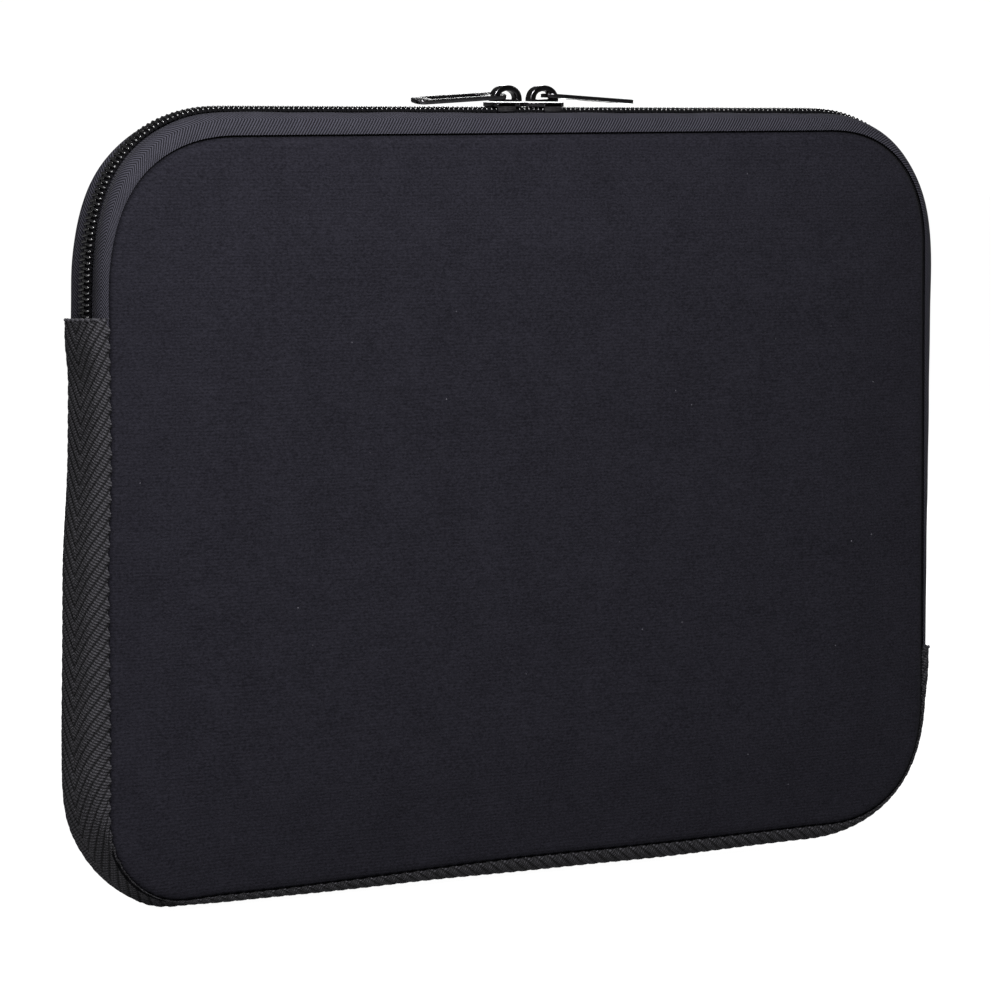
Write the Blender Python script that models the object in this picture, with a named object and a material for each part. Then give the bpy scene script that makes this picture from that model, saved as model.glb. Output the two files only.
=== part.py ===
"""Padded laptop sleeve with a two-way zip round its top, standing on its long bottom edge.

Metres, +Z up. The front face looks along -Y and the width runs along X. The origin is on the
surface that the sleeve stands on, below the middle of the sleeve.
"""

import math

import bmesh
import bpy
from mathutils import Vector

# Driving dimensions
WIDTH = 0.385  # over the side webbing
HEIGHT = 0.290  # to the ridge of the zip teeth
SEAM_HALF_DEPTH = 0.013  # each panel's seam from the sleeve's middle plane
PANEL_CROWN = 0.0035  # how far a panel's middle stands in front of its seam
SIDE_BULGE = 0.0045  # how far the webbing stands outside the seams at the sides,
BOTTOM_BULGE = 0.0073  # and at the bottom
TAPE_SIDE_BULGE = 0.0018  # how far the zip's tape stands outside the seams at the sides,
TOP_BULGE = 0.0072  # and at the top
CORNER_RADIUS = 0.056  # of the seams
CORNER_POWER = 2.3  # 2 is a circle, more is squarer
GAP = 0.0003  # between pieces that touch

LEFT_ZIP_END = 0.214  # heights at which the webbing's two hems cover the zip's ends
RIGHT_ZIP_END = 0.070
HEM_LENGTH = 0.0105
HEM_RISE = 0.0013

PANEL_THICKNESS = 0.0030
PAD_THICKNESS = 0.0025
LINING_THICKNESS = 0.0008
WEBBING_THICKNESS = 0.0014
TAPE_THICKNESS = 0.0008
CROWN_WIDTH = 0.044  # the crown fades out over this distance from the seam

COIL_WIDTH = 0.00385
COIL_HEIGHT = 0.0018
CHAIN_SLOT = 0.0005  # half the slot between the two coils, where a slider's web runs

SLIDER_LENGTH = 0.016
SLIDER_HALF_WIDTH = 0.0052
SLIDER_PLATE = 0.0010
SLIDER_MEETING_X = -0.0007
SLIDER_CLEARANCE = 0.0006  # between the two noses when the zip is shut

BRIDGE_LENGTH = 0.0128
BRIDGE_HEIGHT = 0.0061
BRIDGE_WIDTH = 0.0038
BRIDGE_BAND = 0.0025
BRIDGE_SILL = 0.0009

PULL_LENGTH = 0.0405
PULL_WIDTH = 0.0080
PULL_THICKNESS = 0.0015
PULL_BAR = 0.0009  # half the width of the bar that runs through the bridge
PULL_PIVOT_RISE = 0.00225  # above the bridge's foot
PULL_PIVOT_OFFSET = 0.0016  # from the bridge's middle
PULL_SLOPE = math.radians(3.3)
LEFT_PULL_ROLL = math.radians(10)
RIGHT_PULL_ROLL = math.radians(-2)

CORNER_STEPS = 6
SEAM_HALF_WIDTH = WIDTH / 2 - SIDE_BULGE
COIL_BASE = TOP_BULGE + GAP  # the coils lie on the tape
SEAM_TOP = HEIGHT - COIL_BASE - COIL_HEIGHT
SEAM_BOTTOM = BOTTOM_BULGE
BRIDGE_FOOT = HEIGHT + GAP + SLIDER_PLATE + GAP
FOLD_DEPTH = SEAM_HALF_DEPTH + PANEL_CROWN + 0.0005

# The front panel folds about the line that joins the two ends of the zip.
FOLD_START = Vector((-SEAM_HALF_WIDTH, -FOLD_DEPTH, LEFT_ZIP_END))
FOLD_END = Vector((SEAM_HALF_WIDTH, -FOLD_DEPTH, RIGHT_ZIP_END))
FOLD_NORMAL = Vector((0, -1, 0)).cross(FOLD_END - FOLD_START).normalized()


def clear_scene():
    for old in list(bpy.data.objects):
        bpy.data.objects.remove(old, do_unlink=True)


def material(name, colour, roughness, metallic=0.0):
    made = bpy.data.materials.new(name)
    made.use_nodes = True
    shader = made.node_tree.nodes["Principled BSDF"]
    shader.inputs["Base Color"].default_value = (*colour, 1)
    shader.inputs["Roughness"].default_value = roughness
    shader.inputs["Metallic"].default_value = metallic
    return made


def add_object(name, bm, surface, smooth_angle=math.radians(35)):
    """Stores bm as the object called name, with its faces pointing out."""
    bmesh.ops.recalc_face_normals(bm, faces=bm.faces)
    mesh = bpy.data.meshes.new(name)
    bm.to_mesh(mesh)
    bm.free()
    mesh.shade_smooth()
    mesh.set_sharp_from_angle(angle=smooth_angle)
    mesh.materials.append(surface)
    made = bpy.data.objects.new(name, mesh)
    bpy.context.scene.collection.objects.link(made)
    return made


# The outline, as stations. A station is a point of the seam, as (x, z), and the direction
# in which the outline grows there, as (ux, uz), which is one unit long on the straights.


def spread(start, end, steps):
    return [start + (end - start) * i / steps for i in range(steps)]


def corner(side, upper, start, end):
    """Stations round one corner, from the angle start to end, measured from the horizontal."""
    centre_x = side * (SEAM_HALF_WIDTH - CORNER_RADIUS)
    centre_z = SEAM_TOP - CORNER_RADIUS if upper else SEAM_BOTTOM + CORNER_RADIUS
    turned = 1 if upper else -1
    stations = []
    for angle in spread(math.radians(start), math.radians(end), CORNER_STEPS):
        ux = side * abs(math.cos(angle)) ** (2 / CORNER_POWER)
        uz = turned * abs(math.sin(angle)) ** (2 / CORNER_POWER)
        stations.append((centre_x + CORNER_RADIUS * ux, centre_z + CORNER_RADIUS * uz, ux, uz))
    return stations


def zip_run():
    """Stations along the zip: up the left side from its hem, over the top and down the right."""
    straight = SEAM_HALF_WIDTH - CORNER_RADIUS
    upper_side = SEAM_TOP - CORNER_RADIUS
    left = [(-SEAM_HALF_WIDTH, z, -1, 0) for z in spread(LEFT_ZIP_END, upper_side, 1)]
    top = [(x, SEAM_TOP, 0, 1) for x in spread(-straight, straight, 6)]
    right = [(SEAM_HALF_WIDTH, z, 1, 0) for z in spread(upper_side, RIGHT_ZIP_END, 4)]
    end = [(SEAM_HALF_WIDTH, RIGHT_ZIP_END, 1, 0)]
    return left + corner(-1, True, 0, 90) + top + corner(1, True, 90, 0) + right + end


def webbing_run():
    """Stations along the webbing: up the outline from the right hem, clockwise to the left."""
    straight = SEAM_HALF_WIDTH - CORNER_RADIUS
    lower_side = SEAM_BOTTOM + CORNER_RADIUS
    right = [(SEAM_HALF_WIDTH, z, 1, 0) for z in spread(RIGHT_ZIP_END, lower_side, 1)]
    bottom = [(x, SEAM_BOTTOM, 0, -1) for x in spread(straight, -straight, 5)]
    left = [(-SEAM_HALF_WIDTH, z, -1, 0) for z in spread(lower_side, LEFT_ZIP_END, 4)]
    end = [(-SEAM_HALF_WIDTH, LEFT_ZIP_END, -1, 0)]
    return right + corner(1, False, 0, 90) + bottom + corner(-1, False, 90, 0) + left + end


def whole_outline():
    return zip_run()[:-1] + webbing_run()[:-1]


WEBBING_BULGE = (SIDE_BULGE, BOTTOM_BULGE)
TAPE_BULGE = (TAPE_SIDE_BULGE, TOP_BULGE)


def place(station, bulge, share, outward, y):
    """A point at a share of the edge strip's bulge and a distance outside the seam."""
    x, z, ux, uz = station
    sideways, upright = bulge
    return Vector((x + ux * (sideways * share + outward), y, z + uz * (upright * share + outward)))


def sweep(stations, bulge, section, closed):
    """A tube through the stations, whose section is a closed list of (share, outward, y)."""
    bm = bmesh.new()
    rings = []
    for index, station in enumerate(stations):
        rings.append([bm.verts.new(place(station, bulge, *point)) for point in section(index)])
    pairs = list(zip(rings, rings[1:])) + ([(rings[-1], rings[0])] if closed else [])
    for ring, following in pairs:
        for i in range(len(ring)):
            j = (i + 1) % len(ring)
            bm.faces.new((ring[i], ring[j], following[j], following[i]))
    if not closed:
        bm.faces.new(rings[0])
        bm.faces.new(rings[-1])
    return bm


def crown(inset):
    """How far a panel's surface stands in front of its seam at a distance inside the seam."""
    left = 1 - min(inset, CROWN_WIDTH) / CROWN_WIDTH
    return PANEL_CROWN * (1 - left * left)


def layer(outer_insets, inner_insets, depth, thickness, side, rim=()):
    """A crowned sheet inside the seam; side is -1 at the front and 1 at the back.

    depth is how far the sheet's outer face lies behind the panel's. rim holds extra
    (inset, height under the seam plane) pairs for a rolled edge.
    """
    front = SEAM_HALF_DEPTH - depth
    profile = [(inset, SEAM_HALF_DEPTH - drop) for inset, drop in rim]
    profile += [(inset, front + crown(inset)) for inset in outer_insets]
    profile += [(inset, front + crown(inset) - thickness) for inset in inner_insets]
    bm = bmesh.new()
    stations = whole_outline()
    rings = []
    for inset, y in profile:
        rings.append([bm.verts.new(place(station, WEBBING_BULGE, 0, -inset, side * y)) for station in stations])
    for ring, following in list(zip(rings, rings[1:])) + [(rings[-1], rings[0])]:
        if ring is rings[len(rim) + len(outer_insets) - 1]:
            continue
        for i in range(len(ring)):
            j = (i + 1) % len(ring)
            bm.faces.new((ring[i], ring[j], following[j], following[i]))
    bm.faces.new(rings[len(rim) + len(outer_insets) - 1])
    bm.faces.new(rings[len(rim) + len(outer_insets)])
    return bm


def half(bm, keep_flap):
    """Cuts a front layer along the fold and keeps the flap above it or the part below it."""
    cut = bm.copy()
    away = FOLD_NORMAL if keep_flap else -FOLD_NORMAL
    bmesh.ops.bisect_plane(
        cut,
        geom=cut.verts[:] + cut.edges[:] + cut.faces[:],
        dist=1e-7,
        plane_co=FOLD_START + away * GAP / 2,
        plane_no=away,
        clear_inner=True,
    )
    bmesh.ops.holes_fill(cut, edges=[edge for edge in cut.edges if edge.is_boundary])
    return cut


def add_panels(surface):
    rim = ((GAP, 0.0026), (GAP, 0.0014), (0.0008, 0.0004))
    outer, inner = (0.0022, 0.009, 0.022, CROWN_WIDTH), (CROWN_WIDTH, 0.022, 0.009, 0.003)
    front = layer(outer, inner, 0, PANEL_THICKNESS, -1, rim)
    add_object("front_panel_flap", half(front, True), surface)
    add_object("front_panel_body", half(front, False), surface)
    front.free()
    add_object("back_panel", layer(outer, inner, 0, PANEL_THICKNESS, 1, rim), surface)


def add_inner_layers(name, inset, depth, thickness, surface):
    """The padding or the lining: one sheet behind each panel."""
    outer, inner = (inset, 0.022, CROWN_WIDTH), (CROWN_WIDTH, 0.022, inset)
    front = layer(outer, inner, depth, thickness, -1)
    add_object(f"front_{name}_flap", half(front, True), surface)
    add_object(f"front_{name}_body", half(front, False), surface)
    front.free()
    add_object(f"back_{name}", layer(outer, inner, depth, thickness, 1), surface)


def add_bindings(surface):
    """The tape that wraps the raw edges of each seam, inside the sleeve."""
    near, far = -0.0012, -0.0052
    shallow, deep = SEAM_HALF_DEPTH - 0.0042, SEAM_HALF_DEPTH - 0.0060

    def ring(side):
        corners = ((near, shallow), (near, deep), (far, deep), (far, shallow))
        section = [(0, d, side * y) for d, y in corners]
        return sweep(whole_outline(), WEBBING_BULGE, lambda i: section, True)

    front = ring(-1)
    add_object("front_seam_binding_flap", half(front, True), surface)
    add_object("front_seam_binding_body", half(front, False), surface)
    front.free()
    add_object("back_seam_binding", ring(1), surface)


def add_webbing(surface):
    """The woven gusset below the zip, with a folded hem at each end."""
    steps, flattening = 10, 1.2
    angles = [math.pi * i / steps for i in range(steps + 1)]
    run = webbing_run()

    # The hem's inner end is one more station on the straight side.
    x, _, ux, uz = run[0]
    hem_right = (x, RIGHT_ZIP_END - HEM_LENGTH / 2, ux, uz)
    x, _, ux, uz = run[-1]
    hem_left = [(x, LEFT_ZIP_END - HEM_LENGTH - drop, ux, uz) for drop in (0.003, 0)]
    run = [run[0], hem_right] + run[1:-1] + hem_left + [run[-1]]
    raised = {0: HEM_RISE, 1: HEM_RISE, len(run) - 1: HEM_RISE, len(run) - 2: HEM_RISE}

    def section(index):
        rise = raised.get(index, 0)
        outer = [
            (min(1, flattening * math.sin(a)), rise * math.sin(a), -SEAM_HALF_DEPTH * math.cos(a))
            for a in angles
        ]
        inside = SEAM_HALF_DEPTH - WEBBING_THICKNESS
        inner = [
            (
                min(1, flattening * math.sin(a)),
                -WEBBING_THICKNESS * math.sin(a),
                -inside * math.cos(a),
            )
            for a in reversed(angles)
        ]
        return outer + inner

    add_object("edge_webbing", sweep(run, WEBBING_BULGE, section, False), surface)


def tape_share(y):
    return math.sqrt(max(0, 1 - (y / SEAM_HALF_DEPTH) ** 2))


def shorten(run):
    """The run with both ends held a gap short of the hems."""
    (x0, z0, *u0), (x1, z1, *u1) = run[0], run[-1]
    return [(x0, z0 + GAP, *u0)] + run[1:-1] + [(x1, z1 + GAP, *u1)]


def add_zip_halves(tape_surface, coil_surface):
    run = shorten(zip_run())
    outer_y = [SEAM_HALF_DEPTH, 0.0125, 0.0110, 0.0080, 0.0040, CHAIN_SLOT]
    inner_y = [CHAIN_SLOT, 0.0050, 0.0095, SEAM_HALF_DEPTH - TAPE_THICKNESS]
    coil = [
        (COIL_WIDTH, 0),
        (COIL_WIDTH, 0.5),
        (0.8 * COIL_WIDTH, 1),
        (CHAIN_SLOT + 0.15 * COIL_WIDTH, 1),
        (CHAIN_SLOT, 0.6),
        (CHAIN_SLOT, 0),
    ]
    for name, side in (("front", -1), ("back", 1)):
        tape = [(tape_share(y), 0, side * y) for y in outer_y]
        tape += [(tape_share(y), -TAPE_THICKNESS, side * y) for y in inner_y]
        tape_mesh = sweep(run, TAPE_BULGE, lambda i: tape, False)
        add_object(f"zip_tape_{name}", tape_mesh, tape_surface)
        teeth = [(1, GAP + COIL_HEIGHT * rise, side * y) for y, rise in coil]
        coil_mesh = sweep(run, TAPE_BULGE, lambda i: teeth, False)
        add_object(f"zip_coil_{name}", coil_mesh, coil_surface)


def extrude_profile(profile, half_length):
    """A prism along X with the closed profile of (y, z) points."""
    bm = bmesh.new()
    ends = [[bm.verts.new((x, y, z)) for y, z in profile] for x in (-half_length, half_length)]
    for i in range(len(profile)):
        j = (i + 1) % len(profile)
        bm.faces.new((ends[0][i], ends[0][j], ends[1][j], ends[1][i]))
    bm.faces.new(ends[0])
    bm.faces.new(ends[1])
    return bm


def slider_body():
    """Upper plate with a flange each side, the web between the coils, and the lower plate."""
    plate_low = HEIGHT + GAP
    plate_top = plate_low + SLIDER_PLATE
    flange_foot = HEIGHT - COIL_HEIGHT + 0.0001
    tape_inside = SEAM_TOP + TOP_BULGE - TAPE_THICKNESS
    web = CHAIN_SLOT - 0.00015
    side, inner_side, lower_side = SLIDER_HALF_WIDTH, SLIDER_HALF_WIDTH - 0.0009, 0.0042
    lower_top = tape_inside - 0.0009
    right_half = [
        (web, plate_low),
        (inner_side, plate_low),
        (inner_side, flange_foot),
        (side, flange_foot),
        (side, plate_top - 0.0004),
        (side - 0.0005, plate_top),
    ]
    right_foot = [
        (lower_side, lower_top - SLIDER_PLATE),
        (lower_side, lower_top),
        (web, lower_top),
    ]
    left_half = [(-y, z) for y, z in reversed(right_half)]
    left_foot = [(-y, z) for y, z in reversed(right_foot)]
    return extrude_profile(right_foot + right_half + left_half + left_foot, SLIDER_LENGTH / 2)


def slider_bridge():
    """The arch that holds the pull: a closed eye that stands on the upper plate."""
    steps = 12
    foot = BRIDGE_FOOT

    def arch(half_length, low, high):
        points = []
        for i in range(steps + 1):
            angle = math.pi * i / steps
            share_x, share_z = math.cos(angle), math.sin(angle) ** 0.8
            points.append((half_length * share_x, low + (high - low) * share_z))
        return points

    top = foot + BRIDGE_HEIGHT
    outer = arch(BRIDGE_LENGTH / 2, foot, top)
    inner = arch(BRIDGE_LENGTH / 2 - BRIDGE_BAND, foot + BRIDGE_SILL, top - BRIDGE_BAND * 0.85)
    bm = bmesh.new()
    rings = []
    for points in (outer, inner):
        for y in (-BRIDGE_WIDTH / 2, BRIDGE_WIDTH / 2):
            rings.append([bm.verts.new((x, y, z)) for x, z in points])
    front_out, back_out, front_in, back_in = rings
    for a, b in ((front_out, back_out), (back_out, back_in), (back_in, front_in), (front_in, front_out)):
        for i in range(len(a)):
            j = (i + 1) % len(a)
            bm.faces.new((a[i], a[j], b[j], b[i]))
    return bm


def slot_outline(start, end, half_width, radius, steps):
    """Points of a rounded rectangle from start to end along X, anticlockwise."""
    points = []
    corners = (
        (end - radius, radius - half_width, -90),
        (end - radius, half_width - radius, 0),
        (start + radius, half_width - radius, 90),
        (start + radius, radius - half_width, 180),
    )
    for x, y, first in corners:
        for i in range(steps + 1):
            angle = math.radians(first + 90 * i / steps)
            points.append((x + radius * math.cos(angle), y + radius * math.sin(angle)))
    return [p for p, q in zip(points, points[1:] + points[:1]) if math.dist(p, q) > 1e-5]


def pull(direction, roll):
    """A flat pull from its eye at the origin, reaching out along X and a little down."""
    bm = bmesh.new()
    tip = PULL_LENGTH - PULL_BAR
    outline = slot_outline(-PULL_BAR, tip, PULL_WIDTH / 2, PULL_WIDTH / 2.5, 4)
    holes = (
        slot_outline(PULL_BAR, PULL_BAR + 0.0044, 0.00235, 0.0010, 2),
        slot_outline(tip - 0.0300, tip - 0.0062, 0.0020, 0.0020, 3),
    )
    for z in (-PULL_THICKNESS / 2, PULL_THICKNESS / 2):
        for points in (outline, *holes):
            verts = [bm.verts.new((x, y, z)) for x, y in points]
            for i in range(len(verts)):
                bm.edges.new((verts[i], verts[(i + 1) % len(verts)]))
    bm.verts.ensure_lookup_table()
    lower = [edge for edge in bm.edges if edge.verts[0].co.z < 0]
    upper = [edge for edge in bm.edges if edge.verts[0].co.z > 0]
    walls = list(zip(lower, upper))
    for low, high in walls:
        bm.faces.new((low.verts[0], low.verts[1], high.verts[1], high.verts[0]))
    for edges in (lower, upper):
        bmesh.ops.triangle_fill(bm, edges=edges, use_beauty=True)
    for vert in bm.verts:
        x, y, z = vert.co
        y, z = (
            y * math.cos(roll) - z * math.sin(roll),
            y * math.sin(roll) + z * math.cos(roll),
        )
        x, z = (
            x * math.cos(PULL_SLOPE) + z * math.sin(PULL_SLOPE),
            z * math.cos(PULL_SLOPE) - x * math.sin(PULL_SLOPE),
        )
        vert.co = (direction * x, y, z)
    return bm


def add_sliders(surface):
    for name, direction, roll in (("left", -1, LEFT_PULL_ROLL), ("right", 1, RIGHT_PULL_ROLL)):
        centre = SLIDER_MEETING_X + direction * (SLIDER_LENGTH + SLIDER_CLEARANCE) / 2
        body = add_object(f"slider_{name}", slider_body(), surface)
        body.location.x = centre
        bridge = add_object(f"slider_bridge_{name}", slider_bridge(), surface)
        bridge.location.x = centre
        tab = add_object(f"pull_{name}", pull(direction, roll), surface)
        tab.location = (centre + direction * PULL_PIVOT_OFFSET, 0, BRIDGE_FOOT + PULL_PIVOT_RISE)


def build():
    clear_scene()
    neoprene = material("neoprene", (0.016, 0.015, 0.020), 0.85)
    foam = material("foam", (0.10, 0.10, 0.11), 0.95)
    lining = material("lining", (0.030, 0.030, 0.034), 0.90)
    webbing = material("webbing", (0.014, 0.014, 0.015), 0.80)
    tape = material("zip_tape", (0.020, 0.020, 0.027), 0.80)
    coil = material("zip_coil", (0.008, 0.008, 0.009), 0.30)
    metal = material("black_nickel", (0.060, 0.058, 0.062), 0.22, 1.0)
    pad_depth = PANEL_THICKNESS + GAP
    lining_depth = pad_depth + PAD_THICKNESS + GAP
    add_panels(neoprene)
    add_inner_layers("pad", 0.007, pad_depth, PAD_THICKNESS, foam)
    add_inner_layers("lining", 0.0062, lining_depth, LINING_THICKNESS, lining)
    add_bindings(tape)
    add_webbing(webbing)
    add_zip_halves(tape, coil)
    add_sliders(metal)


build()
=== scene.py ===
"""The visual model of the padded laptop sleeve: its cloth, webbing, zip and metal, with studio and camera.

Metres, +Z up. The front faces -Y. Pieces stand where the frame's nodes stand and ride on its bodies.
"""

import math

import bmesh
import bpy
import numpy as np
from mathutils import Matrix, Vector, noise


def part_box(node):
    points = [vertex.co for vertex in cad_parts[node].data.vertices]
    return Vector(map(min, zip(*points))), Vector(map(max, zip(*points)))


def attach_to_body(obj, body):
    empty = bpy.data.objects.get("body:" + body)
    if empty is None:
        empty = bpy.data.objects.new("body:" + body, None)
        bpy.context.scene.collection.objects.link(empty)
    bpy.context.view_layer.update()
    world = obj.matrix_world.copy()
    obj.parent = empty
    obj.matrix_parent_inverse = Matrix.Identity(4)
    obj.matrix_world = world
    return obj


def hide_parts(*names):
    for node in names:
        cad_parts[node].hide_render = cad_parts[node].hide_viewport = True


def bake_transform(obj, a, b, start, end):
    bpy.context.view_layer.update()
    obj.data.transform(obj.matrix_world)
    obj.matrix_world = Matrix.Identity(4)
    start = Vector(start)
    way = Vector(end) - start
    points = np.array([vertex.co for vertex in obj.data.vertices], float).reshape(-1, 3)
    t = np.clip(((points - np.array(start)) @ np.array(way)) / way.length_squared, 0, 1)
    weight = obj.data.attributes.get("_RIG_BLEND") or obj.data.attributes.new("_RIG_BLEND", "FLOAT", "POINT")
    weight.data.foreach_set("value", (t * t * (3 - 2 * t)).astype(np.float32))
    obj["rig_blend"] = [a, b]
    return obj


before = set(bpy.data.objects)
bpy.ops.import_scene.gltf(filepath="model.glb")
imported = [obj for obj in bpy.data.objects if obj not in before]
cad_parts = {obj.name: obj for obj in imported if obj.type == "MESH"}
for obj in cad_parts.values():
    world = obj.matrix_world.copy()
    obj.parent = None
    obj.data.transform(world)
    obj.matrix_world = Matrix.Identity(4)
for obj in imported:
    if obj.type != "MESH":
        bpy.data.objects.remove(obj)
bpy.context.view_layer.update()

# Sizes that the sleeve's outline is worked out from, read from the frame
WEBBING_LOW, WEBBING_HIGH = (Vector(c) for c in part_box("edge_webbing"))
TAPE_LOW = Vector(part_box("zip_tape_front")[0])
HEIGHT = Vector(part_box("zip_coil_front")[1]).z
HEM_RISE = 0.0013  # how far the frame's hems stand out beyond its webbing
SIDE_BULGE = 0.0045
BOTTOM_BULGE = 0.0073
TAPE_SIDE_BULGE = 0.0018
TOP_BULGE = 0.0072
COIL_HEIGHT = 0.0018
GAP = 0.0003  # between neighbouring pieces of the frame
SEAM_HALF_DEPTH = -TAPE_LOW.y
SEAM_HALF_WIDTH = -WEBBING_LOW.x - SIDE_BULGE - HEM_RISE
SEAM_TOP = HEIGHT - COIL_HEIGHT - GAP - TOP_BULGE
SEAM_BOTTOM = WEBBING_LOW.z + BOTTOM_BULGE
SEAM_MIDDLE = (SEAM_TOP + SEAM_BOTTOM) / 2
CORNER_RADIUS = 0.056
CORNER_POWER = 2.3  # a corner is a superellipse, a little squarer than an arc
STRAIGHT_HALF_WIDTH = SEAM_HALF_WIDTH - CORNER_RADIUS
UNDER_HEM = 0.0025  # how far the zip runs on under the webbing's hems
LEFT_ZIP_END = WEBBING_HIGH.z
RIGHT_ZIP_END = TAPE_LOW.z - GAP
RIGHT_HEM = RIGHT_ZIP_END + 0.0055  # as the photo shows it, a little above the frame's
PANEL_CROWN = 0.0035  # how far a panel's middle stands out, and how soon from its seam
CROWN_WIDTH = 0.044
# How far the strips' ridges stand out at the left, at the bottom or top, and at the right
WEBBING_BULGE = (SIDE_BULGE, BOTTOM_BULGE, SIDE_BULGE)
TAPE_BULGE = (TAPE_SIDE_BULGE, TOP_BULGE, 0.0031)
NO_BULGE = (0, 0, 0)

# The webbing's flat width, and its twill ribs' pitch along it and slant
WEBBING_FLAT = 0.031
RIB_PITCH = 0.0054
RIB_SLOPE = 1.4

# The front panel folds about the line that joins the zip's two ends.
FOLD_POINT = Vector((0, -0.017, (LEFT_ZIP_END + RIGHT_ZIP_END) / 2))
FOLD_NORMAL = Vector((LEFT_ZIP_END - RIGHT_ZIP_END, 0, 2 * SEAM_HALF_WIDTH)).normalized()
FOLD_SPAN = 0.070  # the cloth bends over this distance above the line
MOUTH_HALF_WIDTH = 0.126  # the chain stays shut beyond this distance from the middle


def linked(name, data):
    made = bpy.data.objects.new(name, data)
    bpy.context.scene.collection.objects.link(made)
    return made


# ---------------------------------------------------------------- camera


def add_camera():
    """The photo's camera, solved from the outline and the seam of the sleeve."""
    azimuth, elevation, roll = (math.radians(a) for a in (34.34, 5.37, 0.85))
    ahead = math.cos(elevation)
    back = Vector((-math.sin(azimuth) * ahead, -math.cos(azimuth) * ahead, math.sin(elevation)))
    level = Vector((math.cos(azimuth), -math.sin(azimuth), 0))
    upright = back.cross(level)
    right = math.cos(roll) * level + math.sin(roll) * upright
    up = math.cos(roll) * upright - math.sin(roll) * level
    data = bpy.data.cameras.new("camera")
    data.lens = 182.03
    data.sensor_width = 36
    camera = linked("camera", data)
    target, distance = Vector((-0.0108, 0, 0.1436)), 1.887
    turned = Matrix((right, up, back)).transposed().to_4x4()
    camera.matrix_world = Matrix.Translation(target + back * distance) @ turned
    bpy.context.scene.camera = camera


add_camera()


# ---------------------------------------------------------------- materials


class Surface:
    """A Principled material whose procedural nodes are added by short calls."""

    def __init__(self, name, **constants):
        self.material = bpy.data.materials.new(name)
        self.material.use_nodes = True
        self.tree = self.material.node_tree
        self.shader = self.tree.nodes["Principled BSDF"]
        for socket, value in constants.items():
            self.shader.inputs[socket.replace("_", " ")].default_value = value

    def feed(self, socket, value):
        if isinstance(value, bpy.types.NodeSocket):
            self.tree.links.new(value, socket)
        else:
            socket.default_value = value

    def node(self, kind, inputs, **settings):
        made = self.tree.nodes.new(kind)
        for key, value in settings.items():
            setattr(made, key, value)
        for key, value in inputs.items():
            self.feed(made.inputs[key], value)
        return made

    def math(self, operation, *values):
        return self.node("ShaderNodeMath", dict(enumerate(values)), operation=operation).outputs[0]

    def times(self, first, second):
        return self.math("MULTIPLY", first, second)

    def plus(self, first, factor, base):
        """The first value times the factor, plus the base."""
        return self.math("MULTIPLY_ADD", first, factor, base)

    def place(self, name="strip"):
        """The rest place of a point: across, along and layer on a strip, or x, z and y on a panel."""
        return self.node("ShaderNodeAttribute", {}, attribute_name=name).outputs["Vector"]

    def split(self, vector):
        parts = self.node("ShaderNodeSeparateXYZ", {0: vector}).outputs
        return parts[0], parts[1], parts[2]

    def stretch(self, vector, scale):
        made = self.node("ShaderNodeMapping", {"Vector": vector, "Scale": scale})
        return made.outputs[0]

    def noise(self, vector, scale, detail=2.0, roughness=0.5):
        inputs = {"Vector": vector, "Scale": scale, "Detail": detail, "Roughness": roughness}
        return self.node("ShaderNodeTexNoise", inputs).outputs[0]

    def spots(self, vector, scale, size):
        """1 in small round spots that are scattered about a point per cell, and 0 elsewhere."""
        cells = self.node("ShaderNodeTexVoronoi", {"Vector": vector, "Scale": scale})
        return self.remap(cells.outputs[0], size, size * 0.4, 0, 1)

    def remap(self, value, low, high, new_low, new_high):
        inputs = dict(enumerate((value, low, high, new_low, new_high)))
        return self.node("ShaderNodeMapRange", inputs, clamp=True).outputs[0]

    def wave(self, value, period):
        """A rounded wave from 0 to 1."""
        turned = self.math("SINE", self.times(self.math("DIVIDE", value, period), 2 * math.pi))
        return self.plus(turned, 0.5, 0.5)

    def swing(self, value, amount, base):
        """The base, and what the value stands above or below a half, times the amount."""
        return self.plus(self.math("SUBTRACT", value, 0.5), amount, base)

    def mix(self, factor, first, second):
        inputs = {0: factor, 6: first, 7: second}
        return self.node("ShaderNodeMix", inputs, data_type="RGBA").outputs[2]

    def finish(self, colour, roughness, height, distance):
        self.feed(self.shader.inputs["Base Color"], colour)
        self.feed(self.shader.inputs["Roughness"], roughness)
        if height is not None:
            bump = self.node("ShaderNodeBump", {"Height": height, "Distance": distance})
            self.tree.links.new(bump.outputs[0], self.shader.inputs["Normal"])
        return self.material


def grey(value, blue=1.12, green=0.97):
    return (value, value * green, value * blue, 1)  # a slightly violet black


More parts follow.
